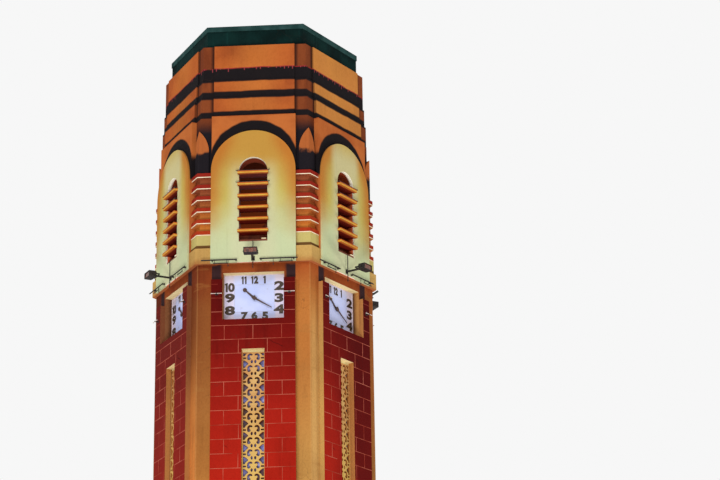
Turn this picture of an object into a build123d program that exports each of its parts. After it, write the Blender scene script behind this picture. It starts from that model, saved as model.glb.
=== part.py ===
from build123d import *
import math
import os

os.makedirs("parts", exist_ok=True)

# Plan: a regular hexagon with one face to the front. An apothem is the distance from
# the tower's axis to a face, and each wall plane is set back from or stands proud of another.
face_count = 6
face_turn = 360 / face_count
corner_slope = math.tan(math.radians(face_turn / 2))
core_apothem = 2470
core_wall = 380
core_inner = core_apothem - core_wall
cut_margin = 50

# Plinth and ground storey, with an open doorway in the front face
plinth_proud = 290
plinth_height = 450
base_proud = 190
base_height = 3150
doorway_half_width = 520
doorway_spring = 2150
plinth_apothem = core_apothem + plinth_proud
base_apothem = core_apothem + base_proud
base_top = plinth_height + base_height

# Shaft: cream wall and corner piers, with a red scored plaster panel on each face
shaft_height = 15780
pier_width = 368
panel_proud = 130
panel_drop = 430
panel_half_width = core_apothem * corner_slope - pier_width
shaft_top = base_top + shaft_height
panel_apothem = core_apothem + panel_proud
panel_top = shaft_top - panel_drop

# Clock: a dial set back in a niche, with its hands just in front
niche_half_width = 772
niche_height = 1260
niche_drop = 230
dial_setback = 330
dial_thickness = 60
dial_frame_width = 24
dial_frame_depth = 16
niche_top = shaft_top - niche_drop
niche_foot = niche_top - niche_height
dial_pivot_height = niche_foot + niche_height / 2
dial_apothem = panel_apothem - dial_setback
dial_back = dial_apothem - dial_thickness

# Hands, shown at about twenty past ten
fit_clearance = 0.3
shaft_radius = 15
shaft_tail = 60
hand_thickness = 12
hand_gap = 14
minute_length = 515
minute_root_width = 46
minute_tip_width = 14
minute_tail = 70
boss_side = 95
boss_turn = 45
hour_length = 330
hour_root_width = 58
hour_tip_width = 30
hour_tail = 40
hour_hub_radius = 40
hour_disc_radius = 53
hub_sides = 12
minute_angle = 121
hour_angle = 313
hour_plane = dial_apothem + hand_gap
minute_plane = hour_plane + hand_thickness + hand_gap

# White lamp bars beside each dial
lamp_bar_rise = 30
lamp_bar_size = 38
lamp_bar_standoff = 70
lamp_bar_end_gap = 4
bracket_width = 110
bracket_height = 64

# Tall slot with a pierced screen
slot_half_width = 286
slot_drop = 780
screen_module = 306
screen_modules = 20
screen_thickness = 60
screen_recess = 150
screen_margin = 24
screen_bar = 26
slot_top = niche_foot - slot_drop
slot_foot = slot_top - screen_module * screen_modules

# Belfry: spandrel walls with raised round-headed panels, arched windows between ribbed corners
belfry_wall = 300
belfry_floor_thickness = 200
band_height = 420
band_proud = 90
spandrel_proud = 60
spandrel_height = 1550
arch_proud = 90
ribbed_corner_width = 378
arch_lift = 20
window_half_width = 365
window_rise = 130
window_height = 1920
band_apothem = core_apothem + band_proud
band_top = shaft_top + band_height
spandrel_apothem = core_apothem + spandrel_proud
belfry_inner = spandrel_apothem - belfry_wall
arch_apothem = spandrel_apothem + arch_proud
arch_half_width = spandrel_apothem * corner_slope - ribbed_corner_width
window_sill = band_top + window_rise
window_spring = window_sill + window_height
arch_spring = window_spring + arch_lift
belfry_top = arch_spring + spandrel_height

# Louvre blades and the corner ribs at the same levels
blade_count = 6
blade_head_gap = 110
blade_foot_gap = 235
blade_thickness = 70
blade_overlap = 26
blade_proud = 100
blade_depth = 260
rib_height = 120
rib_proud = 118
groove_setback = 138
ogive_proud = 63
ogive_margin = 80
ogive_lift = 590
ogive_rise = 580
blade_pitch = (window_height - blade_head_gap - blade_foot_gap) / (blade_count - 1)
rib_levels = [window_spring - blade_head_gap - step * blade_pitch for step in range(blade_count)]
groove_apothem = spandrel_apothem - groove_setback
rib_apothem = groove_apothem + rib_proud
ogive_apothem = groove_apothem + ogive_proud
ogive_spring = arch_spring + ogive_lift
ogive_apex = ogive_spring + ogive_rise

# Set-back tiers above the belfry, each with a raised panel on every face
tier_wall = 300
tier_pier_width = 326
lower_tier_setback = 146
lower_tier_proud = 60
lower_tier_height = 570
middle_tier_setback = 32
middle_tier_proud = 42
middle_tier_height = 500
upper_tier_setback = 28
upper_tier_proud = 38
upper_tier_height = 980
lower_tier_apothem = spandrel_apothem - lower_tier_setback
tier_panel_half_width = lower_tier_apothem * corner_slope - tier_pier_width
middle_tier_apothem = lower_tier_apothem - middle_tier_setback
upper_tier_apothem = middle_tier_apothem - upper_tier_setback
lower_tier_top = belfry_top + lower_tier_height
middle_tier_top = lower_tier_top + middle_tier_height
upper_tier_top = middle_tier_top + upper_tier_height

# Roof slab, parapet and coping
parapet_setback = 144
parapet_wall = 110
parapet_height = 500
roof_slab_thickness = 130
coping_overhang = 20
coping_thickness = 140
parapet_apothem = upper_tier_apothem - parapet_setback
parapet_inner = parapet_apothem - parapet_wall
parapet_top = upper_tier_top + parapet_height

# Floodlight on an arm in front of each face, and a steel rail each side of it
arm_size = 40
arm_reach = 480
arm_rise = 90
rod_size = 16
rod_standoff = 30
rod_drop = 180
lamp_width = 340
lamp_height = 150
lamp_depth = 190
lamp_wall = 12
lens_recess = 30
rail_size = 36
rail_wall = 6
rail_standoff = 70
rail_foot_width = 30
rail_rise = 50
rail_end_gap = 23
left_rail_gap = 396
left_rail_overrun = 245
right_rail_gap = 172
right_rail_overrun = 75
arm_height = shaft_top + arm_rise
rail_height = shaft_top + rail_rise


def hexagon(apothem):
    return RegularPolygon(apothem, face_count, major_radius=False)


def upright(sketch, low, high):
    """A prism of a plan sketch between two heights."""
    return extrude(Pos(0, 0, low) * sketch, high - low)


def hex_ring(outer, inner, low, high):
    return upright(hexagon(outer) - hexagon(inner), low, high)


def front_plane(apothem):
    """The plane of the front face: x runs across it, y is the height."""
    return Plane(origin=(0, -apothem, 0), x_dir=(1, 0, 0), z_dir=(0, -1, 0))


def out_from(apothem, sketch, depth):
    """A sketch on the front face, thickened outwards from an apothem."""
    return extrude(front_plane(apothem) * sketch, depth)


def panel_sketch(half_width, low, high):
    return Pos(0, (low + high) / 2) * Rectangle(2 * half_width, high - low)


def arched_sketch(half_width, low, spring):
    return panel_sketch(half_width, low, spring) + Pos(0, spring) * Circle(half_width)


def front_block(half_width, inner, outer, low, high):
    return out_from(inner, panel_sketch(half_width, low, high), outer - inner)


def corner_sketch(outer, inner, half_width):
    """The plan of a corner: what two neighbouring faces leave beyond half_width."""
    near = [(half_width, -outer), (outer * corner_slope, -outer)]
    far = [(half_width, -inner), (inner * corner_slope, -inner)]
    points = [Vector(*near[0]), Vector(*near[1])]
    points.append(Vector(-half_width, -outer).rotate(Axis.Z, face_turn))
    points.append(Vector(-half_width, -inner).rotate(Axis.Z, face_turn))
    points += [Vector(*far[1]), Vector(*far[0])]
    return make_face(Polyline(*points, close=True))


def corner_block(outer, inner, half_width, low, high):
    return upright(corner_sketch(outer, inner, half_width), low, high)


def around(piece):
    return [Rot(0, 0, face_turn * turn) * piece for turn in range(face_count)]


def save(name, *solids):
    shape = solids[0] if len(solids) == 1 else Compound(children=list(solids))
    export_step(shape, f"parts/{name}.step")


# Doorway
doorway_cut = out_from(
    core_inner - cut_margin,
    arched_sketch(doorway_half_width, -cut_margin, doorway_spring),
    plinth_apothem - core_inner + 2 * cut_margin,
)

# Plinth and ground storey: the doorway parts the front wall into two jambs and a head
save("plinth", hex_ring(plinth_apothem, core_inner, 0, plinth_height) - doorway_cut)
base_block = front_block(panel_half_width, core_inner, base_apothem, plinth_height, base_top)
save("base_walls", *around(base_block)[1:])
jamb_width = panel_half_width - doorway_half_width
door_jamb = extrude(
    front_plane(core_inner)
    * Pos(doorway_half_width + jamb_width / 2, (plinth_height + doorway_spring) / 2)
    * Rectangle(jamb_width, doorway_spring - plinth_height),
    base_apothem - core_inner,
)
save("door_jamb_right", door_jamb)
save("door_jamb_left", mirror(door_jamb, Plane.YZ))
door_head = front_block(panel_half_width, core_inner, base_apothem, doorway_spring, base_top)
save("door_head", door_head - doorway_cut)

# Corner piers of the shaft
pier = corner_block(core_apothem, core_inner, panel_half_width, plinth_height, shaft_top)
save("corner_piers", *around(pier))

# Shaft walls and their red panels, both cut through by the slot and the niche
slot_sketch = panel_sketch(slot_half_width, slot_foot, slot_top)
niche_sketch = panel_sketch(niche_half_width, niche_foot, niche_top)
wall_sketch = panel_sketch(panel_half_width, base_top, shaft_top) - slot_sketch - niche_sketch
red_sketch = panel_sketch(panel_half_width, base_top, panel_top) - slot_sketch - niche_sketch
for number, wall in enumerate(around(out_from(core_inner, wall_sketch, core_wall)), 1):
    save(f"shaft_wall_{number}", wall)
save("red_panels", *around(out_from(core_apothem, red_sketch, panel_proud)))


# Pierced screens: one triangular opening to a module, pointing up
def screen_opening_points():
    """The opening's outline, above its module's foot."""
    edge = slot_half_width - screen_margin
    low = screen_bar / 2
    return [(-edge, low), (0, screen_module - low), (edge, low)]


def screen_sketch():
    outline = panel_sketch(slot_half_width, slot_foot, slot_top)
    opening = make_face(Polyline(*screen_opening_points(), close=True))
    levels = [Pos(0, slot_foot + module * screen_module) for module in range(screen_modules)]
    return outline - [level * opening for level in levels]


screen = out_from(panel_apothem - screen_recess - screen_thickness, screen_sketch(), screen_thickness)
save("jali_screens", *around(screen))

# Dials, each with a hole for the minute shaft and a frame round its edge
pivot = Pos(0, dial_pivot_height)
shaft_hole = pivot * Circle(shaft_radius + fit_clearance)
save("clock_dials", *around(out_from(dial_back, niche_sketch - shaft_hole, dial_thickness)))
frame_opening = panel_sketch(
    niche_half_width - dial_frame_width, niche_foot + dial_frame_width, niche_top - dial_frame_width
)
dial_frame = out_from(dial_apothem, niche_sketch - frame_opening, dial_frame_depth)
save("dial_frames", *around(dial_frame))


# Hands: the minute shaft carries both and turns inside the hour hand's hub
def hand_sketch(length, root_width, tip_width, tail):
    outline = [
        (-root_width / 2, -tail),
        (root_width / 2, -tail),
        (root_width / 2, 0),
        (tip_width / 2, length),
        (-tip_width / 2, length),
        (-root_width / 2, 0),
    ]
    return make_face(Polyline(*outline, close=True))


hour_blade = hand_sketch(hour_length, hour_root_width, hour_tip_width, hour_tail)
hour_blade += Pos(0, hour_length) * RegularPolygon(hour_disc_radius, hub_sides)
hour_blade += RegularPolygon(hour_hub_radius, hub_sides)
hour_blade -= Circle(shaft_radius + fit_clearance)
hour_hand = out_from(hour_plane, pivot * Rot(0, 0, -hour_angle) * hour_blade, hand_thickness)
minute_blade = hand_sketch(minute_length, minute_root_width, minute_tip_width, minute_tail)
minute_hand = out_from(minute_plane, pivot * Rot(0, 0, -minute_angle) * minute_blade, hand_thickness)
minute_boss = pivot * Rot(0, 0, boss_turn) * Rectangle(boss_side, boss_side)
minute_hand += out_from(minute_plane, minute_boss, 2 * hand_thickness)
minute_shaft = pivot * Circle(shaft_radius)
minute_hand += out_from(dial_back - shaft_tail, minute_shaft, minute_plane - dial_back + shaft_tail)
for number, hand in enumerate(around(hour_hand), 1):
    save(f"hour_hand_{number}", hand)
for number, hand in enumerate(around(minute_hand), 1):
    save(f"minute_hand_{number}", hand)


# Lamp bars: a bar on a bracket, across the red panel each side of the niche
bar_length = panel_half_width - niche_half_width - 2 * lamp_bar_end_gap
bar_place = Pos((panel_half_width + niche_half_width) / 2, dial_pivot_height + lamp_bar_rise)
bar_apothem = panel_apothem + lamp_bar_standoff
lamp_bar = out_from(bar_apothem, bar_place * Rectangle(bar_length, lamp_bar_size), lamp_bar_size)
lamp_bar += out_from(panel_apothem, bar_place * Rectangle(bracket_width, bracket_height), lamp_bar_standoff)
save("dial_lamps", *around(lamp_bar), *around(mirror(lamp_bar, Plane.YZ)))

# Belfry floor with the cream band at its edge
floor_slab = upright(hexagon(band_apothem), shaft_top, shaft_top + belfry_floor_thickness)
band = hex_ring(band_apothem, belfry_inner, shaft_top + belfry_floor_thickness, band_top)
save("belfry_floor", floor_slab + band)

# Belfry walls: a raised round-headed panel with a louvred window cut through it
window_cut = out_from(
    belfry_inner - cut_margin,
    arched_sketch(window_half_width, window_sill, window_spring),
    arch_apothem - belfry_inner + 2 * cut_margin,
)
arch_panel = out_from(spandrel_apothem, arched_sketch(arch_half_width, shaft_top, arch_spring), arch_proud)
arch_panel -= upright(hexagon(band_apothem), shaft_top - cut_margin, band_top)
belfry_face = front_block(arch_half_width, belfry_inner, spandrel_apothem, band_top, belfry_top)
belfry_face = belfry_face + arch_panel - window_cut
for number, wall in enumerate(around(belfry_face), 1):
    save(f"belfry_wall_{number}", wall)

# Belfry corners: horizontal ribs over deep grooves, under a raised pointed head
ogive_edge = ogive_apothem * corner_slope
ogive_foot = arch_half_width + ogive_margin
ogive_width = ogive_edge - ogive_foot
ogive_radius = (ogive_width ** 2 + ogive_rise ** 2) / (2 * ogive_width)


def ogive_point(share):
    """A point of the pointed head's curve, from its spring (0) to its apex (1)."""
    turn = share * math.asin(ogive_rise / ogive_radius)
    across = ogive_foot + ogive_radius * (1 - math.cos(turn))
    return (across, ogive_spring + ogive_radius * math.sin(turn))


def ogive_head():
    """The pointed head: one half on a face, mitred at the corner, and its mirror image."""
    foot = [ogive_point(1), (ogive_edge, arch_spring), (ogive_foot, arch_spring), ogive_point(0)]
    outline = Polyline(*foot) + ThreePointArc(ogive_point(0), ogive_point(1 / 2), ogive_point(1))
    half = out_from(belfry_inner, make_face(outline), ogive_apothem - belfry_inner)
    reach = 2 * ogive_apothem
    mitre = Vector(corner_slope * reach, -reach, 0)
    sector = make_face(Polyline((0, 0), (-mitre.X, mitre.Y), (mitre.X, mitre.Y), close=True))
    half &= upright(sector, arch_spring - cut_margin, ogive_apex + cut_margin)
    mitre_normal = Vector(1, 0, 0).rotate(Axis.Z, face_turn / 2)
    return half + mirror(half, Plane(origin=(0, 0, 0), z_dir=mitre_normal))


corner = corner_block(groove_apothem, belfry_inner, arch_half_width, band_top, belfry_top)
corner += corner_block(rib_apothem, belfry_inner, arch_half_width, band_top, rib_levels[-1])
for level in rib_levels:
    corner += corner_block(rib_apothem, belfry_inner, arch_half_width, level, level + rib_height)
corner += ogive_head()
save("belfry_corners", *around(corner))


# Louvre blades: thick slabs across the window, notched round its jambs
def louvre_blade(level):
    inside = front_block(
        window_half_width, arch_apothem - blade_depth, arch_apothem, level, level + blade_thickness
    )
    nose = front_block(
        window_half_width + blade_overlap, arch_apothem, arch_apothem + blade_proud,
        level, level + blade_thickness,
    )
    return inside + nose


blades = []
for level in rib_levels:
    blades += around(louvre_blade(level))
save("louvre_blades", *blades)


# Set-back tiers, each a ring with a slightly raised panel on every face
def tier(apothem, proud, low, high):
    ring = hex_ring(apothem, apothem - tier_wall, low, high)
    panel = front_block(tier_panel_half_width, apothem - tier_wall / 2, apothem + proud, low, high)
    for raised in around(panel):
        ring += raised
    return ring


save("lower_tier", tier(lower_tier_apothem, lower_tier_proud, belfry_top, lower_tier_top))
save("middle_tier", tier(middle_tier_apothem, middle_tier_proud, lower_tier_top, middle_tier_top))
save("upper_tier", tier(upper_tier_apothem, upper_tier_proud, middle_tier_top, upper_tier_top))

# Roof slab, parapet and coping
save("roof_slab", upright(hexagon(parapet_inner), upper_tier_top, upper_tier_top + roof_slab_thickness))
save("parapet", hex_ring(parapet_apothem, parapet_inner, upper_tier_top, parapet_top))
save("parapet_coping", hex_ring(
    parapet_apothem + coping_overhang, parapet_inner - coping_overhang,
    parapet_top, parapet_top + coping_thickness,
))

# Floodlights: an arm out of the arched panel, with a hanger rod, carries an open lamp box
arm = out_from(arch_apothem, Pos(0, arm_height) * Rectangle(arm_size, arm_size), arm_reach)
hanger = panel_sketch(rod_size / 2, shaft_top - rod_drop, window_sill)
arm += out_from(arch_apothem + rod_standoff, hanger, rod_size)
save("floodlight_arms", *around(arm))
lamp_centre = Pos(0, arm_height)
lamp = out_from(arch_apothem + arm_reach, lamp_centre * Rectangle(lamp_width, lamp_height), lamp_depth)
lens_opening = lamp_centre * Rectangle(lamp_width - 2 * lamp_wall, lamp_height - 2 * lamp_wall)
lamp -= out_from(arch_apothem + arm_reach + lamp_depth - lens_recess, lens_opening, lens_recess)
save("floodlights", *around(lamp))


# Steel angle rails along the belfry foot, held off the arched panel by two blocks each
rail_reach = arch_half_width - rail_end_gap


def steel_rail(start, end):
    middle = Pos((start + end) / 2, rail_height)
    rail_apothem = arch_apothem + rail_standoff
    rail = out_from(rail_apothem, middle * Rectangle(end - start, rail_size), rail_wall)
    lying = middle * Pos(0, (rail_wall - rail_size) / 2) * Rectangle(end - start, rail_wall)
    rail += out_from(rail_apothem, lying, rail_size)
    for place in (max(start, -rail_reach) + rail_foot_width, min(end, rail_reach) - rail_foot_width):
        block = Pos(place, rail_height) * Rectangle(rail_foot_width, rail_size)
        rail += out_from(arch_apothem, block, rail_standoff)
    return rail


left_rail = steel_rail(-rail_reach - left_rail_overrun, -left_rail_gap)
right_rail = steel_rail(right_rail_gap, rail_reach + right_rail_overrun)
save("steel_rails", *around(left_rail), *around(right_rail))
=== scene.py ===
import math
import random

import bmesh
import bpy
from mathutils import Matrix, Vector, geometry


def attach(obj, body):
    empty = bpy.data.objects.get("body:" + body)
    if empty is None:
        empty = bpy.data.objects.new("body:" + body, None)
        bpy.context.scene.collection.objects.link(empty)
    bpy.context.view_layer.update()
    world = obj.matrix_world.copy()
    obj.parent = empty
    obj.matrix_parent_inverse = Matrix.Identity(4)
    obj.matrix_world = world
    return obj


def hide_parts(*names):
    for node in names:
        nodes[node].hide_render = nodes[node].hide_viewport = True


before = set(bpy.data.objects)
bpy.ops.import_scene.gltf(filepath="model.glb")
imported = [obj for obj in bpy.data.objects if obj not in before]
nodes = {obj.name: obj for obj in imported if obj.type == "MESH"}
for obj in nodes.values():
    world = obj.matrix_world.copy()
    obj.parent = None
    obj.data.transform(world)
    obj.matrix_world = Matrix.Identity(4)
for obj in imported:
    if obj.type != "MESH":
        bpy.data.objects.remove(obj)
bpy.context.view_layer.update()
random.seed(11)
print("frame loaded:", len(nodes), "nodes")

# the tower as its CAD part has it, in metres
tower = {
    "faces": 6, "panelOut": 2.6, "panelHalf": 1.058, "panelTop": 18.95,
    "slotHalf": 0.286, "slotFoot": 10.99, "slotTop": 17.11,
    "nicheHalf": 0.772, "nicheFoot": 17.89, "nicheTop": 19.15, "dialOut": 2.27, "pivot": 18.52,
    "archHalf": 1.083, "archSpring": 21.87, "ribs": 6, "ribFirst": 20.165, "ribPitch": 0.315,
}
step = 2 * math.pi / tower["faces"]
slope = math.tan(step / 2)

# camera: where the photograph was taken from
view = {"lens": 108.05, "sensor": 36, "reach": 600, "place": (5.721, -53.71, 1.6), "pitch": 19.63,
        "heading": 3.38, "roll": -0.92}


def placeCamera():
    pitch, heading, roll = (math.radians(view[name]) for name in ("pitch", "heading", "roll"))
    forward = Vector((-math.sin(heading), math.cos(heading), 0))
    ahead = forward * math.cos(pitch) + Vector((0, 0, math.sin(pitch)))
    level = Vector((math.cos(heading), math.sin(heading), 0))
    above = level.cross(ahead)
    right = level * math.cos(roll) + above * math.sin(roll)
    top = above * math.cos(roll) - level * math.sin(roll)
    turned = Matrix((right, top, -ahead)).transposed().to_4x4()
    lens = bpy.data.cameras.new("camera")
    lens.lens, lens.sensor_width, lens.clip_end = view["lens"], view["sensor"], view["reach"]
    camera = bpy.data.objects.new("camera", lens)
    bpy.context.collection.objects.link(camera)
    camera.matrix_world = Matrix.Translation(view["place"]) @ turned
    bpy.context.scene.camera = camera


placeCamera()
print("camera placed")


# shader maths

class Wire:  # an output of a node, which adds and multiplies like a number
    def __init__(self, tree, socket):
        self.tree = tree
        self.socket = socket

    def maths(self, operation, *terms):
        return self.node("ShaderNodeMath", {"operation": operation}, dict(enumerate(terms)))

    def node(self, kind, settings=None, sockets=None, output=0):
        return addNode(self.tree, kind, settings, sockets, output)

    def __add__(self, other):
        return self.maths("ADD", self, other)

    def __sub__(self, other):
        return self.maths("SUBTRACT", self, other)

    def __rsub__(self, other):
        return self.maths("SUBTRACT", other, self)

    def __mul__(self, other):
        return self.maths("MULTIPLY", self, other)

    def __truediv__(self, other):
        return self.maths("DIVIDE", self, other)

    def __rtruediv__(self, other):
        return self.maths("DIVIDE", other, self)

    def __abs__(self):
        return self.maths("ABSOLUTE", self)

    __radd__ = __add__
    __rmul__ = __mul__


def feed(tree, socket, value):  # a wire is linked, a number or colour is set
    if isinstance(value, Wire):
        tree.links.new(value.socket, socket)
    else:
        socket.default_value = value


def addNode(tree, kind, settings=None, sockets=None, output=0):
    made = tree.nodes.new(kind)
    for name, value in (settings or {}).items():
        setattr(made, name, value)
    for name, value in (sockets or {}).items():
        feed(tree, made.inputs[name], value)
    return Wire(tree, made.outputs[output])


def paint(code):  # a colour written as on screen, made linear
    parts = [int(code[first:first + 2], 16) / 255 for first in (0, 2, 4)]
    linear = [part / 12.92 if part <= 0.04045 else ((part + 0.055) / 1.055) ** 2.4 for part in parts]
    return (*linear, 1)


def mix(mask, under, over, blend="MIX"):
    under, over = (paint(tone) if isinstance(tone, str) else tone for tone in (under, over))
    settings = {"data_type": "RGBA", "blend_type": blend, "clamp_factor": True}
    return mask.node("ShaderNodeMix", settings, {0: mask, 6: under, 7: over}, 2)


def rise(value, low, high):  # 0 at low, 1 at high, smooth between; low can be the greater
    settings = {"interpolation_type": "SMOOTHSTEP", "clamp": True}
    return value.node("ShaderNodeMapRange", settings, {"Value": value, "From Min": low, "From Max": high})


def around(middle, low, high):
    return middle + low, middle + high


def about(middle, reach):
    return around(middle, -reach, reach)


def noise(point, scale, detail, stretch=(1, 1, 1), roughness=0.5):
    spread = point.node("ShaderNodeVectorMath", {"operation": "MULTIPLY"}, {0: point, 1: stretch})
    return point.node("ShaderNodeTexNoise", {}, {"Vector": spread, "Scale": scale, "Detail": detail,
                                                 "Roughness": roughness})


def cloud(point, scale, detail, low, high, stretch=(1, 1, 1), roughness=0.5):  # soft-edged patches
    return rise(noise(point, scale, detail, stretch, roughness), low, high)


def wave(point, scale, detail, reach):
    return noise(point, scale, detail) * reach


class Spot:  # where a shaded point lies: across its face, out from the axis, and its height
    def __init__(self, tree):
        self.tree = tree
        self.point = addNode(tree, "ShaderNodeTexCoord", output="Object")
        self.x, y, self.height = self.split(self.point)
        faced, sided, self.lift = self.split(addNode(tree, "ShaderNodeTexCoord", output="Normal"))
        turn = y.maths("ARCTAN2", self.x, y * -1)
        self.face = turn.maths("ROUND", turn / step)
        middle = self.face * step
        fold = turn - middle
        radius = y.maths("SQRT", self.x * self.x + y * y)
        self.across = radius * fold.maths("SINE", fold)
        self.out = radius * fold.maths("COSINE", fold)
        self.facing = faced * middle.maths("SINE", middle) - sided * middle.maths("COSINE", middle)
        self.side = abs(self.across)
        self.edge = self.out * slope - self.side
        pitch = tower["ribPitch"]  # ten more of them keep the phase above zero
        self.phase = y.maths("MODULO", self.height - tower["ribFirst"] + 10 * pitch, pitch)

    def split(self, vector):
        return [addNode(self.tree, "ShaderNodeSeparateXYZ", {}, {0: vector}, name) for name in "XYZ"]


def startLook(name):
    material = bpy.data.materials.new(name)
    material.use_nodes = True
    return material, material.node_tree


def finishLook(tree, colour, roughness, height=None, depth=0, **others):
    shader = tree.nodes["Principled BSDF"]
    for name, value in {"Base_Color": colour, "Roughness": roughness, **others}.items():
        feed(tree, shader.inputs[name.replace("_", " ")], value)
    if height is not None:
        bump = addNode(tree, "ShaderNodeBump", {}, {"Strength": 1.0, "Distance": depth, "Height": height})
        feed(tree, shader.inputs["Normal"], bump)


def roughly(point, base, scale, detail, spread):
    return base + wave(point, scale, detail, spread)


# plaster: every painted wall shares its grain, blotches, rain streaks and dirt
plaster = {
    "blotch": "8f5c33", "blotchShare": 0.22, "blotches": (0.7, 5, 0.46, 0.74),
    "pale": "ffe6bc", "paleShare": 0.12, "pales": (1.9, 4, 0.52, 0.80, (1, 1, 0.6)),
    "streak": "5b4030", "streakShare": 0.30, "streaks": (2.2, 4, 0.53, 0.78, (5, 5, 0.22)),
    "streakZone": (0.9, 2, 0.38, 0.66),
    "speck": "6a4a32", "speckShare": 0.22, "specks": (34, 2, 0.70, 0.78),
    "mottle": "a98660", "mottleShare": 0.15, "mottles": (21, 9, 0.44, 0.64, (1, 1, 0.8), 0.68),
    "crack": "4c3022", "crackShare": 0.55, "crackCells": 0.85, "crackWide": 0.0035,
    "crackBend": (2.4, 5.0, 0.5), "crackZone": (0.55, 2, 0.54, 0.60),
    "splash": "6d5a44", "splashShare": 0.45, "splashWave": (2.6, 4, 0.7), "splashTop": (1.3, 0.35),
    "relief": ((90, 4, 0.5), (11, 3, 0.9), (2.3, 2, 1.6)), "depth": 0.004,
    "rough": (0.78, 14, 3, 0.2), "shine": 0.06,
}


def crackMask(point):  # hairline cracks, in a few places only
    scale, detail, bend = plaster["crackBend"]
    drift = point.node("ShaderNodeTexNoise", {}, {"Vector": point, "Scale": scale, "Detail": detail}, "Color")
    bent = point.node("ShaderNodeVectorMath", {"operation": "MULTIPLY_ADD"},
                      {0: drift, 1: (bend, bend, bend), 2: point})
    side = point.node("ShaderNodeTexVoronoi", {"feature": "DISTANCE_TO_EDGE"},
                      {"Vector": bent, "Scale": plaster["crackCells"]})
    return rise(side, plaster["crackWide"], 0) * cloud(point, *plaster["crackZone"])


def agedPlaster(spot, colour, streaks, blotches):
    point = spot.point
    run = cloud(point, *plaster["streaks"]) * cloud(point, *plaster["streakZone"])
    splash = rise(spot.height + wave(point, *plaster["splashWave"]), *plaster["splashTop"])
    coats = (("blotch", cloud(point, *plaster["blotches"]) * blotches, "MULTIPLY"),
             ("pale", cloud(point, *plaster["pales"]), "SOFT_LIGHT"),
             ("streak", run * streaks, "MULTIPLY"),
             ("speck", cloud(point, *plaster["specks"]), "MIX"),
             ("mottle", cloud(point, *plaster["mottles"]) * blotches, "MULTIPLY"),
             ("crack", crackMask(point) * blotches, "MIX"),
             ("splash", splash, "MIX"))
    for name, mask, blend in coats:
        colour = mix(mask * plaster[name + "Share"], colour, plaster[name], blend)
    return colour


def plasterLook(name, paints, streaks=1.0, blotches=1.0, measure=None):
    material, tree = startLook(name)
    spot = Spot(tree)
    if measure:
        measure(spot)
    colour = agedPlaster(spot, painted(spot, paints), streaks, blotches)
    grain, lumps, swell = (wave(spot.point, *relief) for relief in plaster["relief"])
    finishLook(tree, colour, roughly(spot.point, *plaster["rough"]), grain + lumps + swell, plaster["depth"],
               Specular_IOR_Level=plaster["shine"])
    return material


# the walls' colours: a base tone, then coats in turn, each with its tone, its share and its masks; a tone can
# have its own coats; a mask has a measure of the spot, where it is 0, where it is 1 and a wave that bends it
underMask = ("lift", -0.4, -0.7)
insideMask = ("out", 2.26, 2.235)


def band(measure, low, high, soft, *bend):  # the two masks of a stretch from low to high
    return (measure, low - soft, low + soft, *bend), (measure, high + soft, high - soft, *bend)


def masked(spot, measure, *span):  # a cloud has its own numbers, and a ready mask has none
    if measure == "cloud":
        return cloud(spot.point, *span)
    value = getattr(spot, measure)
    if not span:
        return value
    low, high, *bend = span
    if bend:
        value = value + wave(spot.point, *bend)
    return rise(value, low, high)


def painted(spot, paints):  # a tone as it is, or one with its coats laid on
    if not isinstance(paints, dict):
        return paints
    base, *coats = paints.values()
    colour = painted(spot, base)
    for tone, share, *masks in coats:
        for mask in masks:
            share = share * masked(spot, *mask)
        colour = mix(share, colour, painted(spot, tone))
    return colour


pierPaint = {
    "tan": "c4924e", "warm": ("bc7c3c", 1, ("cloud", 0.35, 2, 0.4, 0.62, (1, 1, 0.4))),
    # darker toward the top: painted fall-off of light from lamps below
    "high": ("bc7236", 0.8, ("height", 14.5, 18.5, 0.5, 2, 1.5)),
    "top": ("a4461f", 0.8, ("height", 18.9, 20.2, 0.5, 2, 1.5)),
    # painted shade: darker on the left side and at the far right
    "shaded": ("662a17", 1, ("x", 0.6, -2.4), ("height", 12.5, 18.2)),
    "farShade": ("662a17", 0.45, ("x", 2.25, 2.75)),
    # painted light: paler outer facets of the piers either side of the front
    "sunny": ("deae68", 0.75, ("x", 1.38, 1.48), ("x", 2.3, 2.1), ("height", 19.0, 17.0)),
    "litFacet": ("e89048", 0.8, ("x", -2.3, -2.1), ("x", -1.38, -1.48), ("height", 18.0, 14.0)),
    "daub": ("a9743c", 0.25, ("cloud", 1.4, 3, 0.60, 0.66, (1, 1, 5))),
    # painted highlight: a paler line along each arris
    "arrisHighlight": ("c8965a", 0.28, ("edge", 0.03, 0.0)),
    "inner": ("8f7150", 1, ("out", 2.2, 2.12)),
}

basePaint = {
    "cream": "cda066", "deep": ("b5834c", 1, ("cloud", 0.5, 6, 0.42, 0.60)),
    "patch": ("d2ab76", 0.35, ("cloud", 1.1, 3, 0.60, 0.615, (1, 1, 1.6))),
    "run": ("8d6640", 0.45, ("cloud", 3.4, 5, 0.50, 0.72, (4, 4, 0.10)), ("height", 1.6, 3.6)),
    "damp": ("8d6640", 0.5, ("height", 1.15, 0.55, 3.2, 5, 0.8)),
    "inner": ("8f7150", 0.5, ("out", 2.5, 2.3)),
}

# niche reveals: darker on the left, painted shade
nichePaint = {"lit": "c48c50", "shaded": ("875636", 1, ("x", -0.9, -1.7))}
corePaint = {
    "wall": "984a22", "deep": ("803a1c", 1, ("cloud", 1.2, 3, 0.4, 0.7)),
    # painted shadow beside the dial, above the red panels
    "shade": ("3a2628", 1, ("side", 0.80, 0.88, 3, 2, 0.05), ("height", 19.52, 19.44, 2.5, 2, 0.2),
              ("height", 18.6, 18.8)),
    # the reveals darken deeper in: painted shade
    "reveal": ({"dark": "4e2c20", "front": (nichePaint, 1, ("out", 2.27, 2.42))}, 1,
               ("facing", 0.6, 0.3), ("out", 2.16, 2.3)),
    # painted light: undersides pale as if lit from below
    "soffit": ("f3dea6", 1, underMask, ("out", 2.16, 2.3)),
    "inner": ("6d5a4a", 1, ("out", 2.12, 2.095)),
}
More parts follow.
